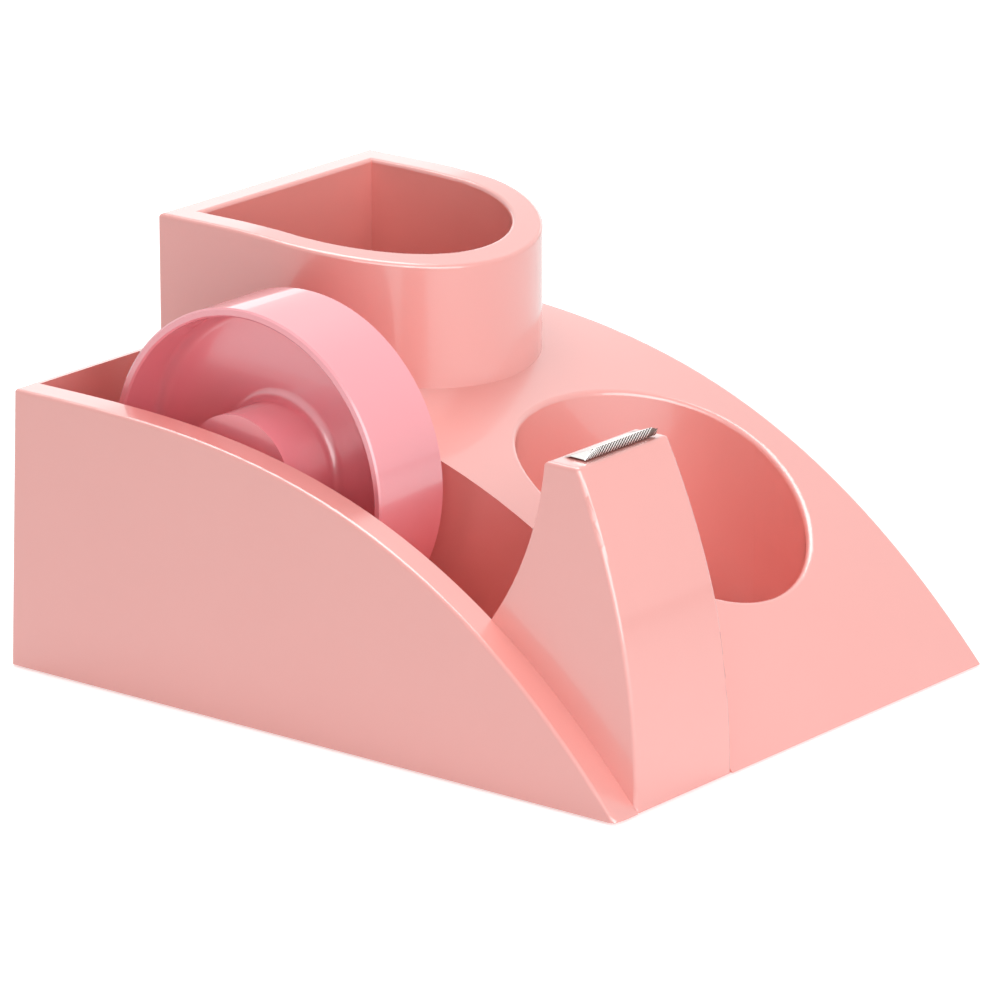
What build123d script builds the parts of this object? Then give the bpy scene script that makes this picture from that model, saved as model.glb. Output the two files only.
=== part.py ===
from build123d import *
from math import atan2, radians, sin, sqrt, tan
import os

# Desk organizer with a tape dispenser, a pen cup and an open well, in millimetres.
# X runs right as seen from the front, Y to the back, Z up. The feet stand on z = 0 and
# the outline's middle is over the origin.

# ---- body ----------------------------------------------------------------------------
width = 129.7            # across the top of the body
depth = 166.0            # front lip to the back face, along the top
back_height = 63.3       # deck height at the back face
draft = 1.2              # lean of the outer walls in degrees, wider at the table
front_corner_r = 2.0     # the panel's corner at the front
edge_r = 0.8             # outer edges of the deck and the upright corners behind
skin = 2.4               # general moulded wall
foot_gap = 0.5           # how far the feet hold the body off the table

# ---- tape bay, post and blade seat ---------------------------------------------------
panel_t = 6.55           # solid side panel left of the bay
bay_w = 32.7             # clear width of the bay
bay_back_t = 1.7         # wall behind the bay
post_height = 71.9       # flat top of the cutter post
post_setback = 0.3       # post's foot behind the front lip
post_lean = 15.8         # how far the front face has curved back at the top
post_top_depth = 8.5     # flat top, front to back
post_edge_r = 1.0        # front edges and the rim of the top
post_narrow = 1.9        # how much the right face leans in at the top
post_narrow_z = 36.0     # height where that lean starts
chute_r = 74.0           # hollow curve from the post's back down to the bay floor
post_cap = 9.6           # solid head above the post's hollow
post_heel = 24.0         # foot of the curve left solid behind that hollow

# ---- pen cup -------------------------------------------------------------------------
cup_r = 36.6             # outer radius of the rounded front
cup_wall = 6.9
cup_back_t = 6.2
cup_flank = 32.4         # straight sides, from the back face to the rounding
cup_height = 92.6
rim_flat = 16.2          # level part of the rim, from the back face
rim_drop = 6.1           # how far the rim falls to its lowest point in front
rim_r = 0.9
store_shift = 0.7        # cup's middle line right of the deck's middle

# ---- well ----------------------------------------------------------------------------
well_rx = 34.2
well_ry = 30.1
well_gap = 12.3          # deck left between the well and the cup
well_shift = 0.5         # well's middle right of the cup's middle
well_edge_r = 1.2

# ---- tape wheel and axle -------------------------------------------------------------
wheel_r = 37.5
wheel_w = 21.3
wheel_rim_t = 2.0
wheel_from_back = 55.5   # axis in front of the back face
wheel_axis_z = 50.5
wheel_side_gap = 5.25    # panel to the rim's near face
web_recess = 12.5
web_t = 2.5
web_r = 2.5              # soft corners of the web
hub_r = 14.8
hub_t = 1.6
hub_edge_r = 1.4
hub_gap = 0.5            # end play beside the saddles
bearing_short = 1.0      # far end of the bearing tube inside the hub
bearing_t = 2.0
axle_d = 6.0
running_gap = 0.05
end_gap = 0.3

# ---- saddles that carry the axle -----------------------------------------------------
saddle_t = 2.35
saddle_wall = 3.4
saddle_rise = 6.0        # saddle's top above the axis
slot_gap = 0.1

# ---- blade ---------------------------------------------------------------------------
blade_w = 23.8
blade_back = 7.2         # flat top's front edge to the blade's back edge
blade_front = 1.8        # flat top's front edge to the foot of the blade's front
blade_nose = 0.5         # flat top's front edge to the tooth tips
blade_h = 2.8            # tooth tips above the post
blade_t = 0.6
tooth_pitch = 1.0
tooth_depth = 0.5

# ---- base, ballast, feet and screws --------------------------------------------------
cover_t = 1.8
cover_gap = 0.15
cover_r = 3.0
ballast_t = 3.0
ballast_side = 1.0       # ballast to the screw bosses
ballast_len = 72.0
ballast_gap = 1.0        # air above the ballast
floor_gap = 0.4          # air between the cover and the well's floor
foot_r = 5.0
foot_t = 1.0
foot_in_x = 16.0         # foot centre from the cover's edge
foot_in_y = 9.0
screw_d = 2.4
screw_len = 8.0
screw_head_d = 4.4
screw_head_t = 1.3
slot_len = 3.1           # cross slot in the head
slot_w = 0.6
slot_deep = 0.65
boss_d = 6.4
boss_clear = 1.5         # air between a boss and the wall beside it
screw_gap = 0.1
screw_in = 2.75          # outer screws from the cover's side edge
screw_in_y = 11.5

# ---- places that follow from the sizes -----------------------------------------------
lean = (back_height - foot_gap) * tan(radians(draft))
lip = depth * (1 - (1 - foot_gap / back_height) ** (1 / 3))   # deck curve at the underside
x0 = -width / 2
y0 = -(lip + depth + lean) / 2                                 # front end of the deck curve
x1 = x0 + width
y1 = y0 + depth
bay_x0 = x0 + panel_t
bay_x1 = bay_x0 + bay_w
bay_y1 = y1 - bay_back_t
seat_z = foot_gap + cover_t                                    # top of the base cover
bay_floor_z = seat_z + skin
cup_floor_z = seat_z + ballast_t + ballast_gap + skin
well_floor_z = seat_z + floor_gap + skin
cup_x = (bay_x1 + x1) / 2 + store_shift
cup_y = y1 - cup_flank
well_x = cup_x + well_shift
well_y = cup_y - cup_r - well_gap - well_ry
axis_y = y1 - wheel_from_back
post_y0 = y0 + lip + post_setback
post_y1 = post_y0 + post_lean
front_r = (post_lean ** 2 + post_height ** 2) / (2 * post_lean)
chute_z = bay_floor_z + chute_r
chute_y = post_y1 + post_top_depth + sqrt(chute_r ** 2 - (chute_z - post_height) ** 2)
axle_r = axle_d / 2
slot_r = axle_r + slot_gap
saddle_r = slot_r + saddle_wall
top_z = cup_height + 10


def front_face(z, inset=0.0):
    """Y of the post's front curve at height z."""
    return post_y0 + front_r - sqrt((front_r - inset) ** 2 - (z - foot_gap) ** 2)


def chute_face(z, inset=0.0):
    """Y of the curve behind the post at height z."""
    return chute_y - sqrt((chute_r + inset) ** 2 - (z - chute_z) ** 2)


def chute_low(y, inset=0.0):
    """Height of the curve behind the post at y."""
    return chute_z - sqrt((chute_r + inset) ** 2 - (y - chute_y) ** 2)


def deck_points(inset=0.0):
    """Control points of the deck curve, moved inward by a wall."""
    front, top = y0 + inset, back_height - inset
    return [(front, -inset), (front + depth / 3, top), (front + 2 * depth / 3, top), (front + depth, top)]


def d_shape(grow=0.0, back=0.0):
    """Plan of the cup: a rounded front and a straight back, grown by a wall."""
    r = cup_r + grow
    end = y1 + back
    with BuildLine() as outline:
        ThreePointArc((cup_x - r, cup_y), (cup_x, cup_y - r), (cup_x + r, cup_y))
        Polyline((cup_x + r, cup_y), (cup_x + r, end), (cup_x - r, end), (cup_x - r, cup_y))
    return outline.line


# ---- cutter post with the bay floor --------------------------------------------------
with BuildPart() as post_block:
    with BuildSketch(Plane.YZ.offset(bay_x0)) as post_side:
        with BuildLine():
            mid_z = (foot_gap + post_height) / 2
            ThreePointArc((post_y0, foot_gap), (front_face(mid_z), mid_z), (post_y1, post_height))
            Line((post_y1, post_height), (post_y1 + post_top_depth, post_height))
            mid_c = (bay_floor_z + post_height) / 2
            ThreePointArc((post_y1 + post_top_depth, post_height), (chute_face(mid_c), mid_c),
                          (chute_y, bay_floor_z))
            Polyline((chute_y, bay_floor_z), (bay_y1 + bay_back_t / 2, bay_floor_z),
                     (bay_y1 + bay_back_t / 2, foot_gap), (post_y0, foot_gap))
        make_face()
    extrude(amount=bay_w)
    with BuildSketch(Plane.XZ.offset(-post_y0 + 1)):
        with BuildLine():
            Polyline((bay_x1, post_narrow_z), (bay_x1 - post_narrow, post_height),
                     (bay_x1 - post_narrow, top_z), (bay_x1 + 1, top_z), (bay_x1 + 1, post_narrow_z),
                     (bay_x1, post_narrow_z))
        make_face()
    extrude(amount=-(post_lean + post_top_depth + chute_r), mode=Mode.SUBTRACT)
    front = post_block.faces().filter_by(lambda f: f.normal_at().Y < -0.8)[0]
    crown = post_block.faces().filter_by(Axis.Z).sort_by(Axis.Z)[-1]
    sides = front.edges().filter_by(lambda e: abs(e.tangent_at(0.5).X) < 0.5)
    fillet(list(sides) + list(crown.edges()), post_edge_r)

# ---- pen cup above the deck ----------------------------------------------------------
with BuildPart() as cup_shell:
    with BuildSketch(Plane.XY.offset(cup_floor_z)):
        add(d_shape())
        make_face()
    extrude(amount=cup_height - cup_floor_z)
    rim_y = y1 - rim_flat
    rim_run = rim_y - (cup_y - cup_r)
    with BuildSketch(Plane.YZ.offset(cup_x)):
        with BuildLine():
            Bezier((rim_y, cup_height), (rim_y - rim_run / 2, cup_height),
                   (rim_y - rim_run, cup_height - rim_drop))
            Polyline((rim_y - rim_run, cup_height - rim_drop), (rim_y - rim_run - 5, cup_height - rim_drop),
                     (rim_y - rim_run - 5, top_z), (rim_y, top_z), (rim_y, cup_height))
        make_face()
    extrude(amount=2 * cup_r, both=True, mode=Mode.SUBTRACT)
    with BuildSketch(Plane.XY.offset(cup_floor_z)) as cup_room:
        add(d_shape(-cup_wall, -cup_back_t))
        make_face()
    extrude(amount=top_z, mode=Mode.SUBTRACT)
    rim = cup_shell.faces().filter_by(lambda f: f.normal_at().Z > 0.7)
    fillet(rim.edges(), rim_r)

# ---- places of the cover, its screws and the feet ------------------------------------
rim_t = skin                                                    # body's foot around the cover
cover_x0, cover_x1 = x0 - lean + rim_t, x1 + lean - rim_t
cover_y0, cover_y1 = y0 + lip + rim_t + cover_t, y1 + lean - rim_t
cover_w, cover_l = cover_x1 - cover_x0, cover_y1 - cover_y0
cover_mid = ((cover_x0 + cover_x1) / 2, (cover_y0 + cover_y1) / 2)
boss_in = skin + boss_clear + boss_d / 2
screw_xs = [cover_x0 + screw_in, bay_x1 + boss_in, x1 - boss_in]
screw_ys = [cover_y0 + screw_in_y, cover_y1 - screw_in_y]
screw_points = [(x, y) for x in screw_xs for y in screw_ys]
boss_points = [(x, y) for x in screw_xs[1:] for y in screw_ys]
foot_points = {
    "front_left": (cover_x0 + foot_in_x, cover_y0 + foot_in_y),
    "front_right": (cover_x1 - foot_in_x, cover_y0 + foot_in_y),
    "back_left": (cover_x0 + foot_in_x, cover_y1 - foot_in_y),
    "back_right": (cover_x1 - foot_in_x, cover_y1 - foot_in_y),
}

# ---- hollow under the deck -----------------------------------------------------------
with BuildPart() as hollow:
    with BuildSketch(Plane.YZ.offset(bay_x1 + skin)):
        with BuildLine():
            under = Bezier(*deck_points(skin))
            Line(under @ 1, (y0 + skin + depth, -2 * skin))
            Line((y0 + skin + depth, -2 * skin), (y0 + skin, -2 * skin))
            Line((y0 + skin, -2 * skin), under @ 0)
        make_face()
    extrude(amount=x1 - skin - bay_x1 - skin)
    with BuildSketch(Plane.XY.offset(seat_z)):
        with Locations(((x0 + x1) / 2, (y0 + y1) / 2 - skin)):
            Rectangle(2 * width, depth)
    extrude(amount=top_z, mode=Mode.INTERSECT)
    with BuildSketch(Plane.XY.offset(well_floor_z - skin)):
        with Locations((well_x, well_y)):
            Ellipse(well_rx + skin, well_ry + skin)
    extrude(amount=top_z, mode=Mode.SUBTRACT)
    with BuildSketch(Plane.XY.offset(cup_floor_z - skin)):
        add(d_shape(skin - cup_wall, skin))
        make_face()
    extrude(amount=top_z, mode=Mode.SUBTRACT)
    with BuildSketch(Plane.XY.offset(seat_z)):
        with Locations(*boss_points):
            Circle(boss_d / 2)
    extrude(amount=top_z, mode=Mode.SUBTRACT)

with BuildPart() as post_hollow:
    crown_z = post_height - post_cap
    heel_y = chute_y - post_heel
    with BuildSketch(Plane.YZ.offset(bay_x0 + skin)):
        with BuildLine():
            mid_f = (seat_z + crown_z) / 2
            ThreePointArc((front_face(seat_z, skin), seat_z), (front_face(mid_f, skin), mid_f),
                          (front_face(crown_z, skin), crown_z))
            Line((front_face(crown_z, skin), crown_z), (chute_face(crown_z, skin), crown_z))
            heel_z = chute_low(heel_y, skin)
            mid_h = (heel_z + crown_z) / 2
            ThreePointArc((chute_face(crown_z, skin), crown_z), (chute_face(mid_h, skin), mid_h),
                          (heel_y, heel_z))
            Polyline((heel_y, heel_z), (heel_y, seat_z), (front_face(seat_z, skin), seat_z))
        make_face()
    extrude(amount=bay_w - 2 * skin - post_narrow)

# ---- body ----------------------------------------------------------------------------
with BuildPart() as body:
    for plan_z in (foot_gap, top_z):
        shrink = 2 * (plan_z - foot_gap) * tan(radians(draft))
        with BuildSketch(Plane.XY.offset(plan_z)) as plan:
            with Locations(((x0 + x1) / 2, (y0 + lip + y1 + lean) / 2)):
                Rectangle(width + 2 * lean - shrink, depth + lean - lip - shrink)
            fillet(plan.vertices().group_by(Axis.Y)[0].sort_by(Axis.X)[0], front_corner_r)
    loft(ruled=True)
    with BuildSketch(Plane.YZ.offset(-width)):
        with BuildLine():
            deck = Bezier(*deck_points())
            Polyline(deck @ 1, (y1 + 2 * lean + 5, back_height), (y1 + 2 * lean + 5, -5), (y0, -5), deck @ 0)
        make_face()
    extrude(amount=2 * width, mode=Mode.INTERSECT)
    rails = body.faces().sort_by(Axis.Z)[-1].edges().filter_by(lambda e: e.center().Z > back_height / 3)
    uprights = body.faces().sort_by(Axis.Y)[-1].edges().filter_by(lambda e: abs(e.tangent_at(0.5).Z) > 0.9)
    fillet(list(rails) + list(uprights), edge_r)
    # bay: the whole channel is cleared, then the post and the floor come back
    with BuildSketch(Plane.XY.offset(foot_gap)):
        with Locations(((bay_x0 + bay_x1) / 2, (y0 - 5 + bay_y1) / 2)):
            Rectangle(bay_w, bay_y1 - y0 + 5)
    extrude(amount=top_z, mode=Mode.SUBTRACT)
    add(post_block.part)
    add(cup_shell.part)
    add(hollow.part, mode=Mode.SUBTRACT)
    add(post_hollow.part, mode=Mode.SUBTRACT)
    with BuildSketch(Plane.XY.offset(cup_floor_z)):
        add(d_shape(-cup_wall, -cup_back_t))
        make_face()
    extrude(amount=top_z, mode=Mode.SUBTRACT)
    with BuildSketch(Plane.XY.offset(well_floor_z)):
        with Locations((well_x, well_y)):
            Ellipse(well_rx, well_ry)
    extrude(amount=back_height, mode=Mode.SUBTRACT)
    cut = body.edges(Select.LAST).filter_by(lambda e: e.geom_type != GeomType.LINE)
    well_rim = cut.filter_by(lambda e: e.bounding_box().max.Z > well_floor_z + skin)
    fillet(well_rim, well_edge_r)
    # saddles on both bay walls
    for wall_x, inward in ((bay_x0, 1), (bay_x1, -1)):
        with BuildSketch(Plane.YZ.offset(wall_x)):
            with BuildLine():
                Polyline((axis_y - saddle_r, wheel_axis_z), (axis_y - saddle_r, wheel_axis_z + saddle_rise),
                         (axis_y - slot_r, wheel_axis_z + saddle_rise), (axis_y - slot_r, wheel_axis_z))
                ThreePointArc((axis_y - slot_r, wheel_axis_z), (axis_y, wheel_axis_z - slot_r),
                              (axis_y + slot_r, wheel_axis_z))
                Polyline((axis_y + slot_r, wheel_axis_z), (axis_y + slot_r, wheel_axis_z + saddle_rise),
                         (axis_y + saddle_r, wheel_axis_z + saddle_rise), (axis_y + saddle_r, wheel_axis_z))
                ThreePointArc((axis_y + saddle_r, wheel_axis_z), (axis_y, wheel_axis_z - saddle_r),
                              (axis_y - saddle_r, wheel_axis_z))
            make_face()
        extrude(amount=inward * saddle_t)
    # recess for the cover, and the screw holes
    with BuildSketch(Plane.XY.offset(foot_gap)):
        with Locations(cover_mid):
            RectangleRounded(cover_w, cover_l, cover_r)
    extrude(amount=cover_t, mode=Mode.SUBTRACT)
    with BuildSketch(Plane.XY.offset(foot_gap)):
        with Locations(*screw_points):
            Circle(screw_d / 2 + screw_gap)
    extrude(amount=screw_len + 0.5, mode=Mode.SUBTRACT)
body.part.label = "body"

# ---- base cover ----------------------------------------------------------------------
with BuildPart() as base_cover:
    with BuildSketch(Plane.XY.offset(foot_gap)):
        with Locations(cover_mid):
            RectangleRounded(cover_w - 2 * cover_gap, cover_l - 2 * cover_gap, cover_r - cover_gap)
    extrude(amount=cover_t)
    with BuildSketch(Plane.XY.offset(foot_gap)):
        with Locations(*foot_points.values()):
            Circle(foot_r + cover_gap)
    extrude(amount=foot_t - foot_gap, mode=Mode.SUBTRACT)
    with BuildSketch(Plane.XY.offset(foot_gap)):
        with Locations(*screw_points):
            Circle(screw_head_d / 2 + screw_gap)
    extrude(amount=screw_head_t, mode=Mode.SUBTRACT)
    with BuildSketch(Plane.XY.offset(foot_gap)):
        with Locations(*screw_points):
            Circle(screw_d / 2 + screw_gap)
    extrude(amount=cover_t, mode=Mode.SUBTRACT)
base_cover.part.label = "base_cover"

# ---- ballast -------------------------------------------------------------------------
with BuildPart() as ballast:
    with BuildSketch(Plane.XY.offset(seat_z)):
        with Locations(((screw_xs[1] + screw_xs[2]) / 2, y1 - cup_back_t - ballast_len / 2)):
            RectangleRounded(screw_xs[2] - screw_xs[1] - boss_d - 2 * ballast_side, ballast_len, cover_r)
    extrude(amount=ballast_t)
ballast.part.label = "ballast_plate"

# ---- cover screws --------------------------------------------------------------------
with BuildPart() as screws:
    with BuildSketch(Plane.XY.offset(foot_gap)):
        with Locations(*screw_points):
            Circle(screw_head_d / 2)
    extrude(amount=screw_head_t)
    with BuildSketch(Plane.XY.offset(foot_gap)):
        with Locations(*screw_points):
            Circle(screw_d / 2)
    extrude(amount=screw_len)
    with BuildSketch(Plane.XY.offset(foot_gap)):
        with Locations(*screw_points):
            Rectangle(slot_len, slot_w)
            Rectangle(slot_w, slot_len)
    extrude(amount=slot_deep, mode=Mode.SUBTRACT)
screws.part.label = "cover_screws"

# ---- feet ----------------------------------------------------------------------------
feet = {}
for place, spot in foot_points.items():
    with BuildPart() as foot:
        with BuildSketch(Plane.XY):
            with Locations(spot):
                Circle(foot_r)
        extrude(amount=foot_t)
        fillet(foot.edges().sort_by(Axis.Z)[0], foot_gap / 2)
    foot.part.label = "foot_" + place
    feet[place] = foot

# ---- axle and wheel, both turned about the same line ---------------------------------
turn_axis = Axis((0, axis_y, wheel_axis_z), (1, 0, 0))
turn_plane = Plane(origin=(0, axis_y, wheel_axis_z), x_dir=(1, 0, 0), z_dir=(0, -1, 0))
rim_x0 = bay_x0 + wheel_side_gap
rim_x1 = rim_x0 + wheel_w
hub_x0 = bay_x0 + saddle_t + hub_gap
hub_x1 = bay_x1 - saddle_t - hub_gap
web_x0 = rim_x0 + web_recess


def ring(xa, xb, ra, rb):
    """Rectangle of the turned section, from x and radius limits."""
    with Locations(((xa + xb) / 2, (ra + rb) / 2)):
        Rectangle(xb - xa, rb - ra)


with BuildPart() as axle:
    with BuildSketch(turn_plane):
        ring(bay_x0 + end_gap, bay_x1 - end_gap, 0, axle_r)
    revolve(axis=turn_axis)
    chamfer(axle.edges().group_by(Axis.X)[0] + axle.edges().group_by(Axis.X)[-1], axle_r / 7)
axle.part.label = "axle"

with BuildPart() as wheel:
    with BuildSketch(turn_plane) as section:
        bore_r = axle_r + running_gap
        ring(rim_x0, rim_x1, wheel_r - wheel_rim_t, wheel_r)
        ring(web_x0, web_x0 + web_t, hub_r - hub_t / 2, wheel_r - wheel_rim_t / 2)
        ring(hub_x0, hub_x1, hub_r - hub_t, hub_r)
        ring(hub_x0, hub_x0 + hub_t, bore_r, hub_r)
        ring(hub_x0, hub_x1 - bearing_short, bore_r, bore_r + bearing_t)
        inner = section.vertices().filter_by(
            lambda v: abs(v.X - web_x0) < 0.01 or abs(v.X - web_x0 - web_t) < 0.01)
        fillet(inner, web_r)
        fillet(section.vertices().group_by(Axis.X)[0].sort_by(Axis.Z)[-1], hub_edge_r)
        fillet(section.vertices().group_by(Axis.X)[-1], hub_t / 2 - 0.05)
        rim_ends = section.vertices().filter_by(
            lambda v: abs(v.X - rim_x0) < 0.01 or abs(v.X - rim_x1) < 0.01)
        chamfer(rim_ends, wheel_rim_t / 5)
    revolve(axis=turn_axis)
wheel.part.label = "tape_wheel"

# ---- blade ---------------------------------------------------------------------------
blade_y = post_y1
blade_x0 = (bay_x0 + bay_x1 - blade_w) / 2
heel = (blade_y + blade_back, post_height)
nose = (blade_y + blade_nose, post_height + blade_h)
toe = (blade_y + blade_front, post_height)
in_heel_y = heel[0] - blade_t / sin(atan2(blade_h, blade_back - blade_nose))
in_toe_y = toe[0] + blade_t / sin(atan2(blade_h, blade_front - blade_nose))
inside = (in_heel_y - in_toe_y) / (heel[0] - toe[0])       # inner wedge to outer wedge
with BuildPart() as blade:
    with BuildSketch(Plane.YZ.offset(blade_x0)) as cap:
        with BuildLine():
            Polyline(heel, nose, toe, heel)
        make_face()
    extrude(amount=blade_w)
    with BuildSketch(Plane.YZ.offset(blade_x0 + blade_t)):
        with BuildLine():
            Polyline((in_heel_y, heel[1]), (in_toe_y, toe[1]),
                     (in_toe_y - inside * (toe[0] - nose[0]), toe[1] + inside * blade_h), (in_heel_y, heel[1]))
        make_face()
    extrude(amount=blade_w - 2 * blade_t, mode=Mode.SUBTRACT)
    teeth = int(blade_w / tooth_pitch)
    first = blade_x0 + (blade_w - teeth * tooth_pitch) / 2
    with BuildSketch(Plane.XY.offset(post_height)):
        for i in range(teeth - 1):
            notch = first + (i + 1) * tooth_pitch
            with BuildLine():
                Polyline((notch - tooth_pitch / 2, nose[0] - 0.01), (notch, nose[0] + tooth_depth),
                         (notch + tooth_pitch / 2, nose[0] - 0.01), (notch - tooth_pitch / 2, nose[0] - 0.01))
            make_face()
    extrude(amount=2 * blade_h, mode=Mode.SUBTRACT)
blade.part.label = "blade"

# ---- files ---------------------------------------------------------------------------
os.makedirs("parts", exist_ok=True)
for piece in (body, base_cover, ballast, screws, *feet.values(), axle, wheel, blade):
    solids = piece.part.solids()
    print(piece.part.label, len(solids), "solids", round(piece.part.volume, 1), "mm3")
    export_step(piece.part, "parts/" + piece.part.label + ".step")
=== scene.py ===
from math import radians

import bmesh
import bpy
from mathutils import Euler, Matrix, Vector


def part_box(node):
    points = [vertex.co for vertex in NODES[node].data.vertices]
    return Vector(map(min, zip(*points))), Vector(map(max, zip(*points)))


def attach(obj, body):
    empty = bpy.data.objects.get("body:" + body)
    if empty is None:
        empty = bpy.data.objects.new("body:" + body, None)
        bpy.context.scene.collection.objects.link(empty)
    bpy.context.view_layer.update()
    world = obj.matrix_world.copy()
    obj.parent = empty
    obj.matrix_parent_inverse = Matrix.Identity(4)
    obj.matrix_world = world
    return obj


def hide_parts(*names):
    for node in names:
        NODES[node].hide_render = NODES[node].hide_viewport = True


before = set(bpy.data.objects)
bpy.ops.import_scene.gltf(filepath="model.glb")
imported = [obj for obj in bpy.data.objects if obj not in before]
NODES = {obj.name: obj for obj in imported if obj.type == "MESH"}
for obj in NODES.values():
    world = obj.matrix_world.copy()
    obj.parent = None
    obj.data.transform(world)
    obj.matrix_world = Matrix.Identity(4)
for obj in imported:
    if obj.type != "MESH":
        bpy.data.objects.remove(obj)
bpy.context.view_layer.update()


def srgb(r, g, b):
    """Linear colour from 0-255 display values."""
    out = []
    for v in (r, g, b):
        v /= 255
        out.append(v / 12.92 if v <= 0.04045 else ((v + 0.055) / 1.055) ** 2.4)
    return (*out, 1.0)


def add_object(name, data):
    ob = bpy.data.objects.new(name, data)
    bpy.context.scene.collection.objects.link(ob)
    return ob


# ---- camera ---------------------------------------------------------------------
cam_data = bpy.data.cameras.new("camera")
cam_data.sensor_fit = "HORIZONTAL"
cam_data.sensor_width = 36.0
cam_data.lens = 248.2
cam_data.clip_start = 0.05
cam_data.clip_end = 50.0
cam = add_object("camera", cam_data)
cam.location = (-1.12431, -0.89113, 0.48248)
CAM_ELEVATION, CAM_AZIMUTH = 17.21, -51.63
cam.rotation_euler = Euler((radians(90 - CAM_ELEVATION), 0.0, radians(CAM_AZIMUTH)), "XYZ")
bpy.context.scene.camera = cam

# ---- materials --------------------------------------------------------------------
# Noise scales are in cycles per metre, bump heights in metres.
CLOUD_SCALE, FINE_SCALE, PEEL_SCALE = 25.0, 160.0, 420.0
PEEL_HEIGHT = 0.0004
BRUSH_SCALE = 90.0
BRUSH_HEIGHT = 0.0003
BRUSHED, PLAIN = (1.0, 60.0, 60.0), (1.0, 1.0, 1.0)
COAT_ROUGH = 0.07
COAT_IOR = 1.5


def material(name):
    m = bpy.data.materials.new(name)
    m.use_nodes = True
    nt = m.node_tree
    return m, nt, nt.nodes["Principled BSDF"]


def noise(nt, scale, detail, stretch=None):
    """Noise in the piece's own coordinates, scaled along each axis by stretch where given."""
    place = nt.nodes.new("ShaderNodeTexCoord").outputs["Object"]
    if stretch:
        mp = nt.nodes.new("ShaderNodeMapping")
        mp.inputs["Scale"].default_value = stretch
        nt.links.new(place, mp.inputs["Vector"])
        place = mp.outputs["Vector"]
    n = nt.nodes.new("ShaderNodeTexNoise")
    n.inputs["Scale"].default_value = scale
    n.inputs["Detail"].default_value = detail
    nt.links.new(place, n.inputs["Vector"])
    return n.outputs["Fac"]


def two_tone(nt, b, source, dark, light):
    """Varies the base colour between two tones."""
    mix = nt.nodes.new("ShaderNodeMix")
    mix.data_type = "RGBA"
    mix.inputs["A"].default_value = dark
    mix.inputs["B"].default_value = light
    nt.links.new(source, mix.inputs["Factor"])
    nt.links.new(mix.outputs["Result"], b.inputs["Base Color"])


def vary_rough(nt, b, source, low, high):
    """Maps a 0-1 value onto the roughness."""
    r = nt.nodes.new("ShaderNodeMapRange")
    r.inputs["To Min"].default_value = low
    r.inputs["To Max"].default_value = high
    nt.links.new(source, r.inputs["Value"])
    nt.links.new(r.outputs["Result"], b.inputs["Roughness"])


def roughen(nt, b, source, strength, height):
    """Bumps the surface."""
    bump = nt.nodes.new("ShaderNodeBump")
    bump.inputs["Strength"].default_value = strength
    bump.inputs["Distance"].default_value = height
    nt.links.new(source, bump.inputs["Height"])
    nt.links.new(bump.outputs["Normal"], b.inputs["Normal"])


def plastic(name, dark, light, rough, gloss=1.5, coat=0.0, peel=0.03):
    m, nt, b = material(name)
    two_tone(nt, b, noise(nt, CLOUD_SCALE, 3.0), dark, light)
    vary_rough(nt, b, noise(nt, FINE_SCALE, 4.0), *rough)
    roughen(nt, b, noise(nt, PEEL_SCALE, 2.0), peel, PEEL_HEIGHT)
    b.inputs["IOR"].default_value = gloss
    if coat:
        b.inputs["Coat Weight"].default_value = coat
        b.inputs["Coat Roughness"].default_value = COAT_ROUGH
        b.inputs["Coat IOR"].default_value = COAT_IOR
    return m


def metal(name, dark, light, rough=(0.3, 0.42), stretch=BRUSHED, peel=0.05):
    m, nt, b = material(name)
    grain = noise(nt, BRUSH_SCALE, 4.0, stretch)
    two_tone(nt, b, grain, dark, light)
    vary_rough(nt, b, grain, *rough)
    roughen(nt, b, grain, peel, BRUSH_HEIGHT)
    b.inputs["Metallic"].default_value = 1.0
    return m


SHELL = plastic("shell_plastic", srgb(243, 158, 150), srgb(246, 163, 155),
                rough=(0.28, 0.36), gloss=2.2, coat=1.0)
WHEEL = plastic("wheel_plastic", srgb(254, 150, 161), srgb(254, 154, 165),
                rough=(0.29, 0.35), gloss=2.35, coat=1.0, peel=0.015)
COVER = plastic("cover_plastic", srgb(240, 152, 146), srgb(245, 160, 153), rough=(0.42, 0.55), peel=0.15)
RUBBER = plastic("foot_rubber", srgb(205, 200, 196), srgb(216, 212, 208), rough=(0.6, 0.75), peel=0.2)
BLADE = metal("blade_steel", srgb(246, 244, 242), srgb(253, 252, 250), rough=(0.3, 0.4))
PLATE = metal("blade_plate", srgb(222, 220, 217), srgb(236, 234, 231))
# Dark steel on the ridges' visible flanks: painted shade standing in for the shaded grooves between the
# teeth.
GROOVE_SHADE = metal("blade_groove_painted_shade", srgb(58, 50, 48), srgb(92, 84, 80), rough=(0.4, 0.55))
# Darker steel over the blade's far end: a painted reflection of the darker cup beside it.
END_REFLECTION = metal("blade_end_painted_reflection", srgb(112, 98, 94), srgb(150, 134, 128), rough=(0.3, 0.45))
AXLE = metal("axle_steel", srgb(190, 190, 193), srgb(214, 214, 216), stretch=PLAIN)
SCREW = metal("screw_steel", srgb(176, 176, 180), srgb(204, 204, 208), stretch=PLAIN)
IRON = metal("ballast_iron", srgb(86, 86, 90), srgb(118, 118, 122), rough=(0.5, 0.7), stretch=PLAIN, peel=0.2)

LOOKS = {
    "body": SHELL, "tape_wheel": WHEEL, "base_cover": COVER, "blade": BLADE, "axle": AXLE,
    "cover_screws": SCREW, "ballast_plate": IRON,
    "foot_front_left": RUBBER, "foot_front_right": RUBBER,
    "foot_back_left": RUBBER, "foot_back_right": RUBBER,
}
for node, look in LOOKS.items():
    for s in NODES[node].material_slots:
        s.material = look

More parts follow.
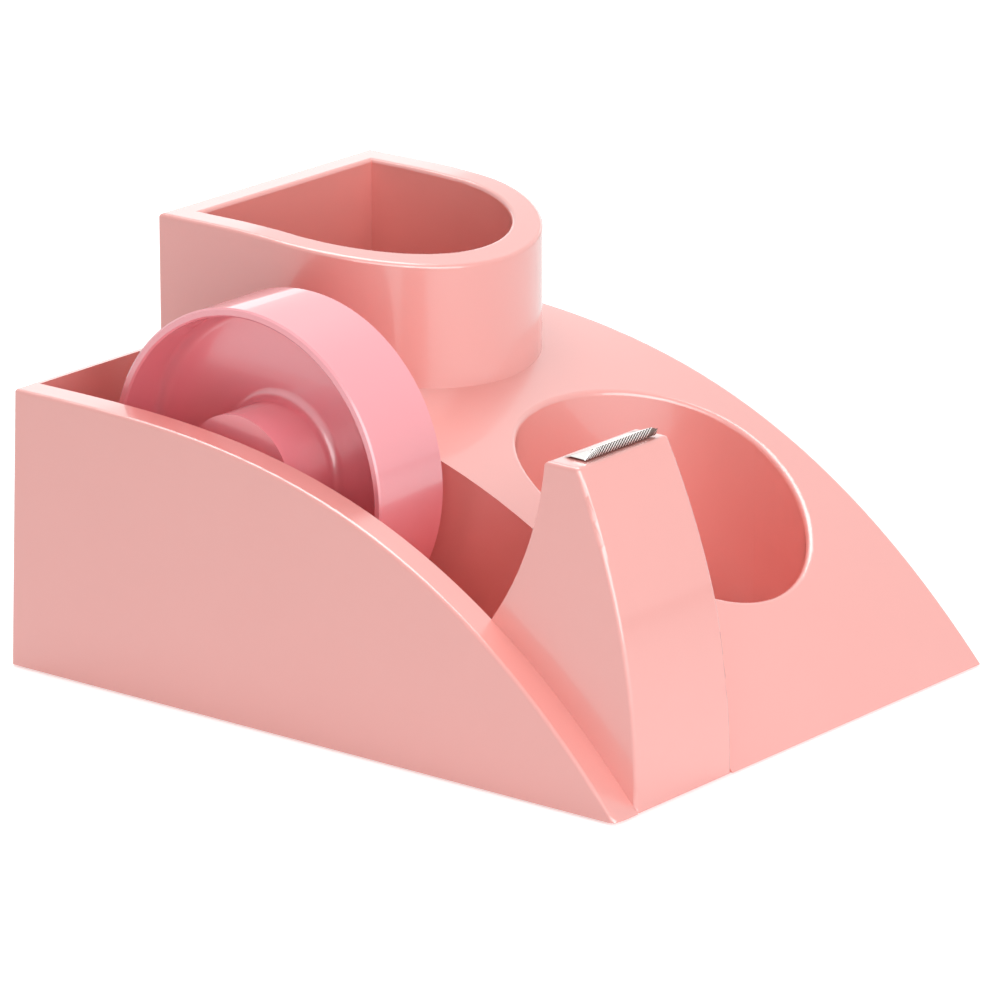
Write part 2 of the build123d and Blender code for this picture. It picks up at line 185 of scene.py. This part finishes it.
# ---- blade ---------------------------------------------------------------------------
# A folded sheet: a plate that rises from its heel at the back to the fold, and a front strip with
# slanted ridges from the fold down to its toe. Points are (y, z), lengths in metres.
BLADE_LO, BLADE_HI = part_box("blade")
SHEET = 0.0003
BEND_X = BLADE_HI[0] - 0.003       # the far end bends down from here
BEND_DROP = 0.3                    # share of the height that it loses
SLANT = 0.0017                     # how far the near end leans back at its top
SLANT_REACH = 0.0045
HEEL = (BLADE_HI[1], BLADE_LO[2] + 0.0001)
FOLD = (BLADE_LO[1] + 0.00035, BLADE_HI[2] - 0.0002)
TOE = (BLADE_LO[1] + 0.0013, BLADE_LO[2] + 0.0003)
FOLD_ROUND = (0.0004, -0.00012)    # where the plate ends, short of the fold
PLATE_POINTS, FRONT_POINTS = 7, 9
PLATE_FACES = 5
TEETH, CUTS = 24, 8                # ridges, and steps in each
RIDGE = 0.00045                    # height of a ridge at the fold
RIDGE_SLANT = 0.55                 # how far a ridge shifts on its way down, in ridges
GROOVE_SHADE_ENDS = (0.29, 0.9)          # the painted groove shade is outside these shares of a ridge
END_REFLECTION_FROM = 0.9                 # share of the length from which the blade carries the painted dark reflection
END_THICK, END_INSET = 0.0004, 0.00006
STEPS = TEETH * CUTS


def blade_point(x, y, z):
    """Slants the near end back towards its top, and keeps the strip low over its bent far end."""
    t = min(max((x - BEND_X) / (BLADE_HI[0] - BEND_X), 0.0), 1.0)
    t = t * t * (3 - 2 * t)
    up = (z - BLADE_LO[2]) / (BLADE_HI[2] - BLADE_LO[2])
    x += SLANT * up * max(1 - (x - BLADE_LO[0]) / SLANT_REACH, 0.0)
    return (x, y, BLADE_LO[2] + (z - BLADE_LO[2]) * (1 - BEND_DROP * t))


def blade_row(i):
    """Points across the sheet at step i of its length, from the heel to the toe."""
    x = BLADE_LO[0] + (BLADE_HI[0] - BLADE_LO[0]) * i / STEPS
    row = []
    for k in range(PLATE_POINTS):
        t = k / (PLATE_POINTS - 1)
        y = HEEL[0] + (FOLD[0] + FOLD_ROUND[0] - HEEL[0]) * t
        z = HEEL[1] + (FOLD[1] + FOLD_ROUND[1] - HEEL[1]) * t
        row.append(blade_point(x, y, z))
    for k in range(FRONT_POINTS):
        t = k / (FRONT_POINTS - 1)
        phase = (i / CUTS + RIDGE_SLANT * t) % 1.0
        out = RIDGE * (1 - abs(2 * phase - 1)) * (0.95 - 0.45 * t)
        y = FOLD[0] + (TOE[0] - FOLD[0]) * t - out
        z = FOLD[1] + (TOE[1] - FOLD[1]) * t + out * 0.45 * (1 - t)
        row.append(blade_point(x, max(y, BLADE_LO[1]), min(z, BLADE_HI[2])))
    return row


def blade_look(i, k):
    """Material of face k across the sheet at step i."""
    # Painted reflection: the far end of the blade is darker.
    if i > STEPS * END_REFLECTION_FROM:
        return END_REFLECTION
    if k < PLATE_FACES:
        return PLATE
    phase = ((i + 0.5) / CUTS + RIDGE_SLANT * (k - PLATE_POINTS + 0.5) / (FRONT_POINTS - 1)) % 1.0
    # Painted shade: the visible flank of each ridge is dark, as if the groove beside it were shaded.
    if k >= PLATE_POINTS and not GROOVE_SHADE_ENDS[0] < phase < GROOVE_SHADE_ENDS[1]:
        return GROOVE_SHADE
    return BLADE


def blade_sheet(name):
    rows = [blade_row(i) for i in range(STEPS + 1)]
    n = len(rows[0])
    faces = [(i * n + j, i * n + j + 1, (i + 1) * n + j + 1, (i + 1) * n + j)
             for i in range(STEPS) for j in range(n - 1)]
    mesh = bpy.data.meshes.new(name)
    mesh.from_pydata([p for row in rows for p in row], [], faces)
    looks = [BLADE, GROOVE_SHADE, END_REFLECTION, PLATE]
    for look in looks:
        mesh.materials.append(look)
    for f in mesh.polygons:
        f.material_index = looks.index(blade_look(*divmod(f.index, n - 1)))
    ob = add_object(name, mesh)
    solid = ob.modifiers.new("sheet", "SOLIDIFY")
    solid.thickness = SHEET
    solid.offset = -1.0
    return ob


def blade_end(name, x):
    """Plate that closes an end of the sheet, with its rim inside the sheet."""
    rim = [(HEEL[0] - 0.0011, HEEL[1] + 0.0004), (FOLD[0] + 0.0004, FOLD[1] - 0.00014),
           (FOLD[0] + 0.00005, FOLD[1] - 0.0003), (TOE[0] - 0.0001, TOE[1] + 0.0001)]
    bm = bmesh.new()
    loops = [[bm.verts.new(blade_point(x + dx, y, z)) for y, z in rim] for dx in (0.0, END_THICK)]
    bm.faces.new(loops[0][::-1])
    bm.faces.new(loops[1])
    for k in range(len(rim)):
        m = (k + 1) % len(rim)
        bm.faces.new((loops[0][k], loops[0][m], loops[1][m], loops[1][k]))
    bmesh.ops.recalc_face_normals(bm, faces=bm.faces)
    mesh = bpy.data.meshes.new(name)
    bm.to_mesh(mesh)
    bm.free()
    mesh.materials.append(BLADE)
    return add_object(name, mesh)


cutter = blade_sheet("cutter_strip")
near_end = blade_end("cutter_end_near", BLADE_LO[0] + END_INSET)
far_end = blade_end("cutter_end_far", BLADE_HI[0] - END_THICK - END_INSET)
for ob in (cutter, near_end, far_end):
    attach(ob, "base")
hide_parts("blade")

# ---- floor, world and lights ----------------------------------------------------------
FLOOR_HALF = 6.0
DIM = 0.22              # floor glow and world strength, where the camera doesn't see them
FLOOR_GLOW = (0.5, 1.0)     # near the object and far from it, for the camera: 1 is white
FLOOR_FADE = (0.35, 1.6)    # distances between which the glow rises

bm = bmesh.new()
bmesh.ops.create_grid(bm, x_segments=1, y_segments=1, size=FLOOR_HALF)
floor_mesh = bpy.data.meshes.new("floor")
bm.to_mesh(floor_mesh)
bm.free()
floor = add_object("floor", floor_mesh)
floor_white, nt, b = material("floor_white")
b.inputs["Base Color"].default_value = (0.86, 0.86, 0.86, 1)
b.inputs["Roughness"].default_value = 0.9
b.inputs["Specular IOR Level"].default_value = 0.1
place = nt.nodes.new("ShaderNodeTexCoord")
away = nt.nodes.new("ShaderNodeVectorMath")
away.operation = "LENGTH"
nt.links.new(place.outputs["Object"], away.inputs[0])
fade = nt.nodes.new("ShaderNodeMapRange")
fade.inputs["From Min"].default_value, fade.inputs["From Max"].default_value = FLOOR_FADE
fade.inputs["To Min"].default_value, fade.inputs["To Max"].default_value = FLOOR_GLOW
nt.links.new(away.outputs["Value"], fade.inputs["Value"])
path = nt.nodes.new("ShaderNodeLightPath")
boost = nt.nodes.new("ShaderNodeMapRange")
boost.inputs["To Min"].default_value = DIM
nt.links.new(path.outputs["Is Camera Ray"], boost.inputs["Value"])
nt.links.new(fade.outputs["Result"], boost.inputs["To Max"])
glow = nt.nodes.new("ShaderNodeEmission")
glow.inputs["Color"].default_value = (1, 1, 1, 1)
nt.links.new(boost.outputs["Result"], glow.inputs["Strength"])
both = nt.nodes.new("ShaderNodeAddShader")
nt.links.new(b.outputs["BSDF"], both.inputs[0])
nt.links.new(glow.outputs["Emission"], both.inputs[1])
nt.links.new(both.outputs["Shader"], nt.nodes["Material Output"].inputs["Surface"])
floor_mesh.materials.append(floor_white)

world = bpy.data.worlds.new("world")
bpy.context.scene.world = world
world.use_nodes = True
nt = world.node_tree
background = nt.nodes["Background"]
background.inputs["Color"].default_value = (1, 1, 1, 1)
path = nt.nodes.new("ShaderNodeLightPath")
seen = nt.nodes.new("ShaderNodeMath")
seen.operation = "MAXIMUM"
nt.links.new(path.outputs["Is Camera Ray"], seen.inputs[0])
nt.links.new(path.outputs["Is Glossy Ray"], seen.inputs[1])
strength = nt.nodes.new("ShaderNodeMapRange")
strength.inputs["To Min"].default_value = DIM
strength.inputs["To Max"].default_value = 1.0
nt.links.new(seen.outputs[0], strength.inputs["Value"])
nt.links.new(strength.outputs["Result"], background.inputs["Strength"])


def softbox(name, place, aim, size, watts):
    data = bpy.data.lights.new(name, "AREA")
    data.shape = "RECTANGLE"
    data.size, data.size_y = size
    data.energy = watts
    ob = add_object(name, data)
    ob.location = place
    ob.rotation_euler = (Vector(aim) - Vector(place)).to_track_quat("-Z", "Y").to_euler()


softbox("top", (0.15, 0.25, 1.28), (0, 0, 0.03), (1.1, 1.1), 11.8)
softbox("front", (-0.2, -1.3, 0.45), (0, 0, 0.05), (1.0, 0.8), 6.2)
softbox("front_left", (-0.9, -0.9, 0.45), (0, 0, 0.05), (1.0, 0.8), 4.4)
softbox("back", (1.15, 0.95, 0.33), (0, 0, 0.06), (1.8, 0.45), 1.7)

bpy.context.scene.view_settings.view_transform = "Standard"
